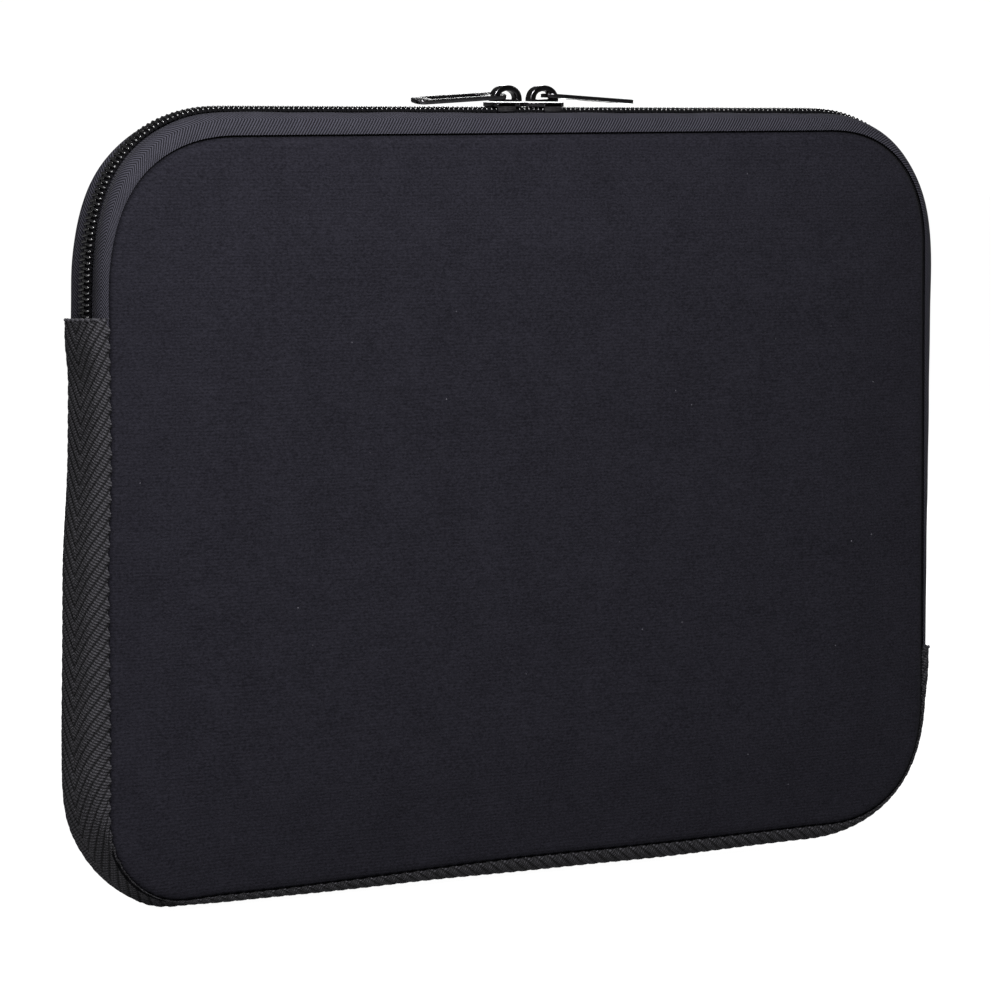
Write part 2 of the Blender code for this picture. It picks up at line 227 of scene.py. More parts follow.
def neoprene_surface():
    """Smooth fine knit with faint horizontal courses, cloudy tone, a few specks of lint, and painted shade
    on its rim at the seam.
    """
    s = Surface("neoprene_knit", Specular_IOR_Level=0.0, Sheen_Weight=0.015, Sheen_Roughness=0.5)
    spot = s.place()
    clouds = s.noise(spot, 55, 4, 0.6)
    grain = s.noise(s.stretch(spot, (1, 1.7, 1)), 1000, 2, 0.7)
    _, up, face = s.split(spot)
    # Painted shade: the rolled rim next to the seam is darkened towards near black, as the groove would
    # shade it.
    painted_seam_shade = s.remap(s.math("ABSOLUTE", face), SEAM_HALF_DEPTH - 0.0015, SEAM_HALF_DEPTH + 0.0002, 0.35, 1)
    courses = s.wave(up, 0.00125)
    streaks = s.noise(s.stretch(spot, (0.3, 1.6, 1)), 520, 2, 0.6)
    tone = s.plus(clouds, 0.3, 0.35)
    tone = s.swing(courses, 0.07, s.swing(streaks, 0.25, s.swing(grain, 1.5, tone)))
    colour = s.mix(s.remap(tone, 0.2, 0.8, 0, 1), grey(0.0060, 1.30, 0.96), grey(0.0145, 1.30, 0.96))
    colour = s.mix(painted_seam_shade, grey(0.0004), colour)
    lint = s.times(s.spots(spot, 95, 0.035), s.remap(s.noise(spot, 23), 0.5, 0.56, 0, 1))
    colour = s.mix(s.times(lint, 0.6), colour, grey(0.14))
    height = s.plus(grain, 0.7, s.times(courses, 0.35))
    height = s.plus(lint, 0.8, height)
    return s.finish(colour, s.remap(clouds, 0.3, 0.7, 0.80, 0.92), height, 0.00012)


def tape_surface():
    """The zip's woven tape: lighter, bluish, with herringbone lines."""
    s = Surface("zip_tape_twill", Specular_IOR_Level=0.05, Sheen_Weight=0.02, Sheen_Roughness=0.4)
    spot = s.place()
    across, along, _ = s.split(spot)
    from_middle = s.math("ABSOLUTE", s.math("SUBTRACT", across, 0.0054))
    lines = s.wave(s.plus(from_middle, 0.90, along), 0.00125)
    yarns = s.wave(across, 0.00052)
    fuzz = s.noise(spot, 1300, 2, 0.7)
    clouds = s.noise(spot, 120, 3)
    tone = s.plus(lines, 0.85, s.times(yarns, 0.05))
    tone = s.math("ADD", tone, s.plus(fuzz, 0.3, s.times(clouds, 0.2)))
    colour = s.mix(s.remap(tone, 0.35, 1.15, 0, 1), grey(0.0045, 1.26, 0.97), grey(0.0400, 1.26, 0.97))
    height = s.plus(fuzz, 0.4, tone)
    return s.finish(colour, s.remap(fuzz, 0.3, 0.7, 0.62, 0.85), height, 0.00016)


def webbing_surface():
    """Coarse twill webbing, whose short yarn floats show on the ribs, and whose grooves between the ribs are
    darkened with painted shade.
    """
    s = Surface("webbing_twill", Specular_IOR_Level=0.08, Sheen_Weight=0.01, Sheen_Roughness=0.4)
    spot = s.place()
    across, along, layer = s.split(spot)
    middle = WEBBING_FLAT / 2
    depth = s.math("SUBTRACT", middle, s.math("ABSOLUTE", s.math("SUBTRACT", across, middle)))
    phase = s.math("DIVIDE", s.plus(depth, RIB_SLOPE, along), RIB_PITCH)
    columns = s.math("ABSOLUTE", s.math("SINE", s.times(phase, 2 * math.pi)))
    rows = s.wave(s.plus(depth, -0.5, along), 0.00122)
    fuzz = s.noise(s.stretch(spot, (2.2, 1, 1)), 800, 3, 0.7)
    knots = s.times(rows, s.plus(columns, 0.75, 0.25))
    # The tone is scaled by the rib height kept in the layer. This is painted shade that darkens the grooves
    # between the ribs.
    tone = s.times(layer, s.plus(knots, 1.1, 0.18))
    tone = s.swing(fuzz, 0.5, tone)
    colour = s.mix(s.remap(tone, 0.0, 1.0, 0, 1), grey(0.0016, 1.10, 0.97), grey(0.0540, 1.10, 0.97))
    glints = s.times(s.spots(spot, 420, 0.16), s.remap(s.noise(spot, 160), 0.52, 0.62, 0, 1))
    colour = s.mix(s.times(glints, 0.7), colour, grey(0.17, 1.05))
    height = s.plus(knots, 1.0, s.times(fuzz, 0.5))
    return s.finish(colour, s.remap(fuzz, 0.3, 0.7, 0.55, 0.85), height, 0.00035)


def lining_surface():
    s = Surface("lining_tricot", Specular_IOR_Level=0.2, Sheen_Weight=0.3, Sheen_Roughness=0.5)
    spot = s.place()
    across, _, _ = s.split(spot)
    wales = s.wave(across, 0.0011)
    pile = s.noise(spot, 1000, 3, 0.7)
    tone = s.plus(wales, 0.3, pile)
    colour = s.mix(s.remap(tone, 0.3, 1.0, 0, 1), grey(0.020, 1.1), grey(0.040, 1.1))
    return s.finish(colour, s.remap(pile, 0.3, 0.7, 0.85, 0.98), tone, 0.0002)


def foam_surface():
    s = Surface("foam_cells", Specular_IOR_Level=0.2)
    spot = s.place()
    cells = s.node("ShaderNodeTexVoronoi", {"Vector": spot, "Scale": 1400}).outputs[0]
    colour = s.mix(cells, grey(0.05, 1.0), grey(0.13, 1.0))
    return s.finish(colour, s.remap(cells, 0, 1, 0.85, 1.0), cells, 0.0003)


def thread_surface(name, dark, light, pitch, shine):
    """Twisted thread or plain bound tape, with diagonal strands."""
    s = Surface(name, Specular_IOR_Level=shine, Sheen_Weight=0.2 * shine)
    spot = s.place()
    across, along, _ = s.split(spot)
    strands = s.wave(s.math("ADD", across, along), pitch)
    fuzz = s.noise(spot, 1500)
    tone = s.plus(fuzz, 0.5, s.times(strands, 0.6))
    colour = s.mix(s.remap(tone, 0.1, 0.9, 0, 1), grey(dark), grey(light))
    return s.finish(colour, s.remap(fuzz, 0.3, 0.7, 0.5, 0.75), tone, 0.0002)


def coil_surface():
    """Glossy black nylon monofilament with faint draw lines and dust."""
    s = Surface("coil_nylon", Specular_IOR_Level=0.20, Coat_Weight=0.6, Coat_Roughness=0.06, Coat_IOR=1.8)
    spot = s.place()
    haze = s.noise(spot, 500, 3)
    dust = s.noise(spot, 2500, 2, 0.7)
    colour = s.mix(s.remap(dust, 0.5, 0.75, 0, 1), grey(0.0020), grey(0.010))
    return s.finish(colour, s.remap(haze, 0.3, 0.7, 0.22, 0.40), dust, 0.00003)


def metal_surface():
    """Black nickel plating with rubbed edges, fine scratches and fingermarks."""
    s = Surface("black_nickel_plating", Metallic=1.0)
    spot = s.place("rest_place")
    smudge = s.noise(spot, 260, 3)
    scratch = s.noise(s.stretch(spot, (1, 12, 4)), 700, 3, 0.7)
    wear = s.node("ShaderNodeNewGeometry", {}).outputs["Pointiness"]
    rubbed = s.times(s.remap(wear, 0.51, 0.60, 0, 1), s.remap(scratch, 0.35, 0.65, 0.2, 1))
    colour = s.mix(s.remap(smudge, 0.3, 0.7, 0, 1), grey(0.030, 1.05), grey(0.050, 1.06))
    colour = s.mix(rubbed, colour, grey(0.32, 1.02))
    roughness = s.plus(scratch, 0.12, s.remap(smudge, 0.3, 0.7, 0.06, 0.16))
    return s.finish(colour, roughness, scratch, 0.00001)


NEOPRENE = neoprene_surface()
TAPE = tape_surface()
WEBBING = webbing_surface()
LINING = lining_surface()
FOAM = foam_surface()
BINDING = thread_surface("binding_tape", 0.010, 0.022, 0.0009, 0.2)
# Near black and without sheen. This is painted shade for the seam's turned edges behind the groove, and the
# coil cord's own black, which also stands for the shade between the teeth.
SHADOWED = thread_surface("painted_shade_and_black_cord", 0.0030, 0.0070, 0.0009, 0.0)
THREAD = thread_surface("hem_thread", 0.008, 0.055, 0.0007, 0.1)
COIL = coil_surface()
METAL = metal_surface()


# ---------------------------------------------------------------- outline


def eased(share):
    return share * share * (3 - 2 * share)


def lengths_along(points):
    """Each point's distance along the line through the points."""
    return np.concatenate(([0], np.cumsum(np.linalg.norm(np.diff(points, axis=0), axis=1))))


def corner_stations(side, upper, angles, half_width, edge_z, radius):
    """(x, z, ux, uz) round one corner; u is the direction in which the outline grows."""
    ux = side * np.abs(np.cos(angles)) ** (2 / CORNER_POWER)
    uz = (1 if upper else -1) * np.abs(np.sin(angles)) ** (2 / CORNER_POWER)
    centre_x = side * (half_width - radius)
    centre_z = edge_z - radius if upper else edge_z + radius
    return np.stack((centre_x + radius * ux, centre_z + radius * uz, ux, uz), axis=1)


EDGE_SHARES = np.linspace(0, 1, 26)[1:-1]  # stations along the straight top or bottom

# The front seam as sewn is a little off the outline: (half width, rise of the edge, radius)
FRONT_CORNERS = {
    (-1, True): (SEAM_HALF_WIDTH, -0.0016, 0.056),
    (1, True): (SEAM_HALF_WIDTH - 0.0043, 0.0004, 0.048),
    (1, False): (SEAM_HALF_WIDTH, -0.0005, 0.047),
    (-1, False): (SEAM_HALF_WIDTH - 0.0040, -0.0036, 0.037),
}


def corner(side, upper, start, end, steps=40):
    """Stations round one corner: the outline's (x, z, ux, uz), then the front seam's."""
    angles = np.radians(np.linspace(start, end, steps + 1))
    edge = SEAM_TOP if upper else SEAM_BOTTOM
    width, rise, radius = FRONT_CORNERS[side, upper]
    outline = corner_stations(side, upper, angles, SEAM_HALF_WIDTH, edge, CORNER_RADIUS)
    front = corner_stations(side, upper, angles, width, edge + rise, radius)
    return np.concatenate((outline, front), axis=1)


def side_station(side, z):
    """A station on a straight side, where the front seam leans from corner to corner."""
    upper = FRONT_CORNERS[side, True][0]
    lower = FRONT_CORNERS[side, False][0]
    share = (z - SEAM_BOTTOM - CORNER_RADIUS) / (SEAM_TOP - SEAM_BOTTOM - 2 * CORNER_RADIUS)
    front = side * (lower + (upper - lower) * min(1, max(0, share)))
    return np.array([[side * SEAM_HALF_WIDTH, z, side, 0, front, z, side, 0]], float)


def bottom_stations():
    """Right to left along the bottom, whose front seam sags towards the left corner."""
    right, left = FRONT_CORNERS[1, False], FRONT_CORNERS[-1, False]
    x = STRAIGHT_HALF_WIDTH - 2 * STRAIGHT_HALF_WIDTH * EDGE_SHARES
    front_x = (right[0] - right[2]) * (1 - EDGE_SHARES) - (left[0] - left[2]) * EDGE_SHARES
    sag = np.clip((EDGE_SHARES - 0.45) / 0.5, 0, 1)
    front_z = SEAM_BOTTOM + right[1] + (left[1] - right[1]) * eased(sag)
    zero = np.zeros_like(x)
    return np.stack((x, zero + SEAM_BOTTOM, zero, zero - 1, front_x, front_z, zero, zero - 1), axis=1)


def zip_run():
    """Up the left side from under its hem, over the top and down the right side."""
    left = side_station(-1, LEFT_ZIP_END - UNDER_HEM)
    right = side_station(1, RIGHT_HEM - UNDER_HEM)
    return np.concatenate((left, corner(-1, True, 0, 90), corner(1, True, 90, 0), right))


def webbing_run():
    """Down the right side from its hem, along the bottom and up the left side."""
    ends = side_station(1, RIGHT_HEM), side_station(-1, LEFT_ZIP_END)
    corners = corner(1, False, 0, 90), corner(-1, False, 90, 0)
    return np.concatenate((ends[0], corners[0], bottom_stations(), corners[1], ends[1]))


def whole_run():
    return np.concatenate((zip_run()[1:-1], webbing_run()[1:-1]))


def ridge_of(stations, bulge):
    """The strip's outermost line (station, x and z)."""
    x, z, ux, uz = (stations[:, i] for i in range(4))
    aside = np.where(ux < 0, bulge[0], bulge[2])
    return np.stack((x + ux * aside, z + uz * bulge[1]), axis=1)


def resampled(run, bulge, step=None, count=None, closed=False):
    """The run's stations at even steps along the strip's ridge, and each one's distance along it."""
    if closed:
        run = np.concatenate((run, run[:1]))
    ridge = ridge_of(run, bulge)
    lengths = lengths_along(ridge)
    count = count or int(round(lengths[-1] / step)) + 1
    along = np.linspace(0, lengths[-1], count, endpoint=not closed)
    outline = np.stack([np.interp(along, lengths, run[:, i]) for i in range(4)], axis=1)
    return np.concatenate((outline, nearest_front(outline[:, :2])), axis=1), along


def nearest_front(points):
    """For each point (x, z) the nearest one on the front seam."""
    run = whole_run()
    start = np.concatenate((run[:, 4:6], run[:1, 4:6]))
    chord = np.diff(start, axis=0)
    start = start[:-1]
    keep = np.linalg.norm(chord, axis=1) > 1e-7
    start, chord = start[keep], chord[keep]
    offset = points[:, None] - start[None]
    share = np.clip((offset * chord[None]).sum(axis=2) / (chord * chord).sum(axis=1)[None], 0, 1)
    foot = start[None] + share[..., None] * chord[None]
    best = np.argmin(np.linalg.norm(points[:, None] - foot, axis=2), axis=1)
    return foot[np.arange(len(points)), best]


def placed(stations, bulge, share, outward, y):
    """Points (stations, section, 3): at a share of the way from the seam to the ridge, and outward."""
    share, outward, y = np.broadcast_arrays(*(np.atleast_2d(a) for a in (share, outward, y)))
    ridge = ridge_of(stations, bulge)
    result = []
    for i in range(2):
        seam = np.where(y < 0, stations[:, 4 + i, None], stations[:, i, None])
        result.append(seam + (ridge[:, i, None] - seam) * share + stations[:, 2 + i, None] * outward)
    return np.stack((result[0], np.broadcast_to(y, result[0].shape), result[1]), axis=2)


def bump_between(value, low, high, edge):
    """1 between low and high, easing to 0 over edge on each side."""
    rise = np.clip((value - low) / edge + 1, 0, 1)
    fall = np.clip((high - value) / edge + 1, 0, 1)
    return eased(rise) * eased(fall)


def settled(points):
    """Adds the sleeve's unevenness to points: a drawn-in upper left side, a bottom raised at the
    right, and a full lower left corner behind the front seam.
    """
    x, z = points[..., 0], points[..., 2]
    near_left = np.clip((-0.08 - x) / 0.10, 0, 1) ** 1.5
    pull_in = 0.0016 * near_left * bump_between(z, 0.165, 0.235, 0.045)
    to_right = np.clip((x - 0.02) / 0.11, 0, 1)
    lift = 0.0013 * to_right * to_right * np.clip(1 - z / 0.05, 0, 1)
    aside = np.clip((CORNER_RADIUS - SEAM_HALF_WIDTH - x) / CORNER_RADIUS, 0, 1)
    under = np.clip((SEAM_BOTTOM + CORNER_RADIUS - z) / CORNER_RADIUS, 0, 1)
    cornered = np.clip(2.0 * (aside * under - 0.06), 0, 1)
    behind = np.clip((points[..., 1] + 0.0088) / 0.006, 0, 1)
    full_corner = 0.0040 * eased(cornered) * (0.3 + 0.7 * behind)
    result = points.copy()
    result[..., 0] = x + pull_in - 0.5 * full_corner
    result[..., 2] = z + lift - full_corner
    return result


# ---------------------------------------------------------------- meshes


def oriented(mesh, weld_height=None):
    """Turns the mesh's faces outward, and joins the doubles at a height."""
    bm = bmesh.new()
    bm.from_mesh(mesh)
    if weld_height is not None:
        doubles = [v for v in bm.verts if abs(v.co.z - weld_height) < 1e-6]
        bmesh.ops.remove_doubles(bm, verts=doubles, dist=1e-6)
    bmesh.ops.recalc_face_normals(bm, faces=bm.faces)
    bm.to_mesh(mesh)
    bm.free()


def dressed(mesh, attribute, places, surface, smooth_degrees):
    """An object of the mesh, with each point's rest place in an attribute for the material."""
    rest = np.asarray(places, np.float32).ravel()
    mesh.attributes.new(attribute, "FLOAT_VECTOR", "POINT").data.foreach_set("vector", rest)
    mesh.shade_smooth()
    mesh.set_sharp_from_angle(angle=math.radians(smooth_degrees))
    mesh.materials.append(surface)
    return linked(mesh.name, mesh)


def mesh_object(name, points, faces, places, surface, smooth_degrees=40):
    """A soft piece, which shares the sleeve's unevenness."""
    mesh = bpy.data.meshes.new(name)
    mesh.from_pydata(settled(np.asarray(points, float)).tolist(), [], faces)
    oriented(mesh)
    return dressed(mesh, "strip", places, surface, smooth_degrees)


def grid_faces(rows, columns, start=0, closed_rows=False, closed_columns=False):
    """Quads of a grid whose rows follow each other, and which may join up in either direction."""
    r = np.arange(rows if closed_rows else rows - 1)[:, None]
    c = np.arange(columns if closed_columns else columns - 1)[None, :]
    near, far, beside = start + r * columns, start + (r + 1) % rows * columns, (c + 1) % columns
    return np.stack((near + c, near + beside, far + beside, far + c), axis=2).reshape(-1, 4).tolist()


def ring_faces(rings, sides, start):
    """Quads of a tube between its rings of points, and a cap at each end."""
    faces = grid_faces(rings, sides, start, closed_columns=True)
    return faces + [list(range(end, end + sides)) for end in (start, start + (rings - 1) * sides)]


def slab(name, outer, inner, outer_strip, inner_strip, surface, closed=False):
    """A closed sheet between two grids that have the same number of rows."""
    rows, m = outer.shape[:2]
    n = inner.shape[1]
    base = rows * m
    faces = grid_faces(rows, m, 0, closed) + grid_faces(rows, n, base, closed)
    for r in range(rows if closed else rows - 1):
        f = (r + 1) % rows
        faces.append((r * m, f * m, base + f * n, base + r * n))
        faces.append((r * m + m - 1, f * m + m - 1, base + f * n + n - 1, base + r * n + n - 1))
    if not closed:
        for r in (0, rows - 1):
            top = [r * m + i for i in range(m)]
            faces.append(top + [base + r * n + i for i in reversed(range(n))])
    points = np.concatenate((outer.reshape(-1, 3), inner.reshape(-1, 3)))
    strip = np.concatenate((outer_strip.reshape(-1, 3), inner_strip.reshape(-1, 3)))
    return mesh_object(name, points, faces, strip, surface)


def strip_places(across, along, layer=0.5):
    """The rest places on a strip for every station along and every point across."""
    return np.stack(np.broadcast_arrays(across, along, layer), axis=2).astype(float)


# ---------------------------------------------------------------- panels and inner layers


FACING = {-1: "front", 1: "back"}
PANEL_STEPS = 22  # stations along half a side, and round a corner
INNER_LOOPS = 24
SEAM_STATIONS = 420
SHIFT_FADE = 0.050  # the front seam's shift fades out over this distance in from the seam
CLOTH_FRAMES = 12
CLOTH_SETTINGS = {
    "quality": 4,
    "mass": 0.2,
    "tension_stiffness": 12,
    "compression_stiffness": 6,
    "bending_stiffness": 1.5,
    "use_pressure": True,
    "uniform_pressure_force": 1.5,
}
PUFF_LIMIT = 0.0009  # how far the simulation may move a point


def crown(inset):
    left = 1 - np.minimum(inset, CROWN_WIDTH) / CROWN_WIDTH
    return PANEL_CROWN * (1 - left * left)


def side_stations(side, heights):
    return np.concatenate([side_station(side, z) for z in heights])


def panel_outline():
    """Stations round a whole panel, as many above its middle line as below it."""
    above = np.linspace(SEAM_MIDDLE, SEAM_TOP - CORNER_RADIUS, PANEL_STEPS)
    below = 2 * SEAM_MIDDLE - above[1:]
    first, second = corner(-1, True, 0, 90, PANEL_STEPS), corner(1, True, 90, 0, PANEL_STEPS)
    third, fourth = corner(1, False, 0, 90, PANEL_STEPS), corner(-1, False, 90, 0, PANEL_STEPS)
    shares = EDGE_SHARES[:, None]
    top = first[-1:] * (1 - shares) + second[:1] * shares
    upper = (side_stations(-1, above), first[1:], top, second[:-1], side_stations(1, above)[::-1])
    lower = (side_stations(1, below), third[1:], bottom_stations(), fourth[:-1])
    return np.concatenate((*upper, *lower, side_stations(-1, below)[::-1]))


def add_ripple(grid, side, height):
    """Moves the grid's points by soft waves, which fade out towards the seam."""
    for point in grid.reshape(-1, 3):
        inset = min(SEAM_HALF_WIDTH - abs(point[0]), SEAM_TOP - point[2], point[2] - SEAM_BOTTOM)
        soft = min(1, max(0, inset - 0.003) / 0.012)
        spot = Vector((point[0], point[2], side * 3.0))
        waves = 0.45 * noise.noise(spot * 16) + 0.25 * noise.noise(spot * 42)
        point[1] += side * height * soft * waves


def panel_grid(insets, side, depth, ripple=0, rim=()):
    """Loops (loop, station, 3) from the rim to the panel's middle line."""
    stations = panel_outline()
    x, z, ux, uz = (stations[:, i] for i in range(4))
    shift = np.zeros((len(stations), 2))
    if side < 0:
        shift = nearest_front(stations[:, :2]) - stations[:, :2]
    loops = [(inset, SEAM_HALF_DEPTH - drop) for inset, drop in rim]
    loops += [(inset, SEAM_HALF_DEPTH - depth + crown(inset)) for inset in insets]
    rows = []
    for inset, y in loops:
        aside, up = (shift * (1 - inset / SHIFT_FADE)).T
        row = (x - ux * inset + aside, np.full_like(x, side * y), z - uz * inset + up)
        rows.append(np.stack(row, axis=1))
    edge = rows[-1]
    # The two halves meet on a line shorter than the panel, so its loops stay evenly spaced.
    spine_x = x * (STRAIGHT_HALF_WIDTH - 0.08) / SEAM_HALF_WIDTH
    spine = np.stack((spine_x, edge[:, 1], np.full(len(edge), SEAM_MIDDLE)), axis=1)
    rows += [edge + (spine - edge) * share for share in np.linspace(0, 1, INNER_LOOPS + 1)[1:]]
    grid = np.array(rows)
    if ripple:
        add_ripple(grid, side, ripple)
    return grid


def panel_slab(name, outer, inner, surface):
    """A closed sheet between two loop grids, each welded along the panel's middle line."""
    count = outer.shape[1]
    base = len(outer) * count
    faces = grid_faces(len(outer), count, closed_columns=True)
    faces += grid_faces(len(inner), count, base, closed_columns=True)
    faces += [(i, (i + 1) % count, base + (i + 1) % count, base + i) for i in range(count)]
    points = np.concatenate((outer.reshape(-1, 3), inner.reshape(-1, 3)))
    made = mesh_object(name, points, faces, points[:, [0, 2, 1]], surface)
    oriented(made.data, weld_height=SEAM_MIDDLE)
    return made


def rolled_rim(start, radius):
    """(inset, drop) pairs of a rounded edge, from its side up to the panel's face."""
    pairs = [(start, 0.0027)]
    for angle in np.linspace(0, math.pi / 2, 7)[:-1]:
        pairs.append((start + radius * (1 - math.cos(angle)), radius * (1 - math.sin(angle))))
    return pairs


def attach(piece, side):
    """The back rides the shell. The front bends open with the mouth, shut beyond the sliders."""
    if side > 0:
        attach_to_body(piece, "shell")
        return
    end = FOLD_POINT + FOLD_NORMAL * FOLD_SPAN
    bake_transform(piece, "shell", "front_flap", start=tuple(FOLD_POINT), end=tuple(end))
    weights = piece.data.attributes["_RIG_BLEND"].data
    for vertex, weight in zip(piece.data.vertices, weights):
        share = min(1, abs(vertex.co.x) / MOUTH_HALF_WIDTH)
        weight.value *= math.cos(math.pi / 2 * share) ** 2


def stand_for(made, layer, side):
    """Attaches a layer in place of the frame's, whose front is cut in two where it folds."""
    attach(made, side)
    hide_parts(*([f"front_{layer}_body", f"front_{layer}_flap"] if side < 0 else [f"back_{layer}"]))


def puffed(made, side):
    """Blows the skin up over its foam as cloth, held at its sewn rim, and keeps it within the limit."""
    mesh = made.data
    rest = np.empty(3 * len(mesh.vertices), np.float32)
    mesh.vertices.foreach_get("co", rest)
    rest = rest.reshape(-1, 3)
    outside = side * rest[:, 1] > SEAM_HALF_DEPTH + 0.0006
    held = made.vertex_groups.new(name="held")
    held.add(np.nonzero(~outside)[0].tolist(), 1.0, "ADD")
    cloth = made.modifiers.new("cloth", "CLOTH")
    for setting, value in CLOTH_SETTINGS.items():
        setattr(cloth.settings, setting, value)
    cloth.settings.effector_weights.gravity = 0
    cloth.settings.vertex_group_mass = held.name
    cloth.collision_settings.use_self_collision = False
    cloth.collision_settings.use_collision = False
    cloth.point_cache.frame_start = 1
    cloth.point_cache.frame_end = CLOTH_FRAMES
    scene = bpy.context.scene
    for frame_number in range(1, CLOTH_FRAMES + 1):
        scene.frame_set(frame_number)
    blown = np.empty_like(rest.ravel())
    made.evaluated_get(bpy.context.evaluated_depsgraph_get()).data.vertices.foreach_get("co", blown)
    move = blown.reshape(-1, 3) - rest
    length = np.linalg.norm(move, axis=1)[:, None]
    move *= np.minimum(1, PUFF_LIMIT / np.maximum(length, 1e-9))
    made.modifiers.remove(cloth)
    made.vertex_groups.remove(held)
    mesh.vertices.foreach_set("co", (rest + move).ravel())
    mesh.update()
    scene.frame_set(1)


def add_panel(side):
    insets = (0.0025, 0.0042, 0.006, 0.009, 0.013, 0.018, 0.024, 0.030, 0.037, 0.044)
    outer = panel_grid(insets, side, 0, 0.0007, rolled_rim(0.0003, 0.0018))
    inner = panel_grid((0.0030, 0.009, 0.018, 0.030, 0.044), side, 0.0030)
    made = panel_slab(f"{FACING[side]}_panel_skin", outer, inner, NEOPRENE)
    puffed(made, side)
    stand_for(made, "panel", side)


def add_pad(side):
    insets = (0.007, 0.014, 0.028, 0.044)
    outer, inner = (panel_grid(insets, side, depth) for depth in (0.0033, 0.0058))
    made = panel_slab(f"{FACING[side]}_pad_foam", outer, inner, FOAM)
    stand_for(made, "pad", side)


def add_lining(side):
    insets = (0.0062, 0.014, 0.028, 0.044)
    outer = panel_grid(insets, side, 0.0061)
    inner = panel_grid(insets, side, 0.0069, 0.0004)
    made = panel_slab(f"{FACING[side]}_lining_cloth", outer, inner, LINING)
    stand_for(made, "lining", side)


def seam_strip(name, side, paths, width, surface):
    """A strip along the whole seam, and its length, from the (outward, depth) of its two faces."""
    stations, along = resampled(whole_run(), NO_BULGE, count=SEAM_STATIONS, closed=True)
    grids, places = [], []
    for path in paths:
        outward, depth = np.array(path).T
        grids.append(placed(stations, NO_BULGE, 0, outward, side * depth))
        places.append(strip_places(np.linspace(0, width, len(path))[None, :], along[:, None]))
    return slab(name, *grids, *places, surface, closed=True), round(float(along[-1]), 3)


def add_binding(side):
    """The bias tape folded over the seam's raw edges, inside the sleeve."""
    near, far, shallow, deep, cloth, bevel = -0.0012, -0.0052, 0.0088, 0.0070, 0.0003, 0.0006
    outer = ((near, shallow), (far + bevel, shallow), (far, shallow - bevel))
    outer += ((far, deep + bevel), (far + bevel, deep), (near, deep))
    inner = ((near, shallow - cloth), (far + cloth, shallow - cloth))
    inner += ((far + cloth, deep + cloth), (near, deep + cloth))
    made, length = seam_strip(f"{FACING[side]}_seam_tape", side, (outer, inner), 0.010, BINDING)
    stand_for(made, "seam_binding", side)


def add_allowance(side):
    """The edges that the seam turns inside, which close it behind the groove, painted near black as the
    groove's shade.
    """
    paths = (
        ((-0.0062, 0.0098), (-0.0016, 0.0099), (-0.0010, 0.0108), (-0.0008, 0.0121)),
        ((-0.0062, 0.0091), (-0.0004, 0.0093), (0.0004, 0.0108), (0.0004, 0.0119)),
    )
    made, length = seam_strip(f"{FACING[side]}_seam_allowance", side, paths, 0.006, SHADOWED)
    attach(made, side)


# ---------------------------------------------------------------- webbing


WEBBING_THICKNESS = 0.0014
RIB_HEIGHT = 0.00045
HEM_HEIGHT = 0.0019
HEM_LENGTH = 0.024
HEM_TILT = 0.06  # the hems sit a little higher in front
STITCHES = 7
STITCH_PITCH = 0.0034
STITCH_LENGTH = 0.0027
STITCH_SIDES = 6


def soft_share(angle):
    """Share of the bulge round the section: flat-topped, with eased shoulders."""
    t = 1.2 * np.sin(angle)
    return t / (1 + t**6) ** (1 / 6)


def even_angles(bulge, count):
    """Angles round the section whose points lie evenly along it."""
    dense = np.linspace(0.02, math.pi - 0.02, 600)
    arc = lengths_along(np.stack((bulge * soft_share(dense), SEAM_HALF_DEPTH * np.cos(dense)), axis=1))
    return np.interp(np.linspace(0, arc[-1], count), arc, dense)


def twill_ribs(across, along):
    """Height from 0 to 1 of ribs that run slanting to the middle of the webbing and back."""
    depth = np.minimum(across, WEBBING_FLAT - across)
    phase = (along + RIB_SLOPE * depth) / RIB_PITCH
    return np.abs(np.sin(math.pi * phase)) ** 0.75


def hem_rise(from_end):
    """How far a folded hem stands out at a distance from the webbing's end."""
    rounded = np.clip(from_end / 0.0016, 0, 1)
    roll = np.sqrt(1 - (1 - rounded) ** 2)
    fade = np.clip((HEM_LENGTH - from_end) / (0.75 * HEM_LENGTH), 0, 1)
    rise = roll * eased(fade) - 0.35 * (1 - roll)
    return HEM_HEIGHT * rise * (from_end < HEM_LENGTH + 0.003)


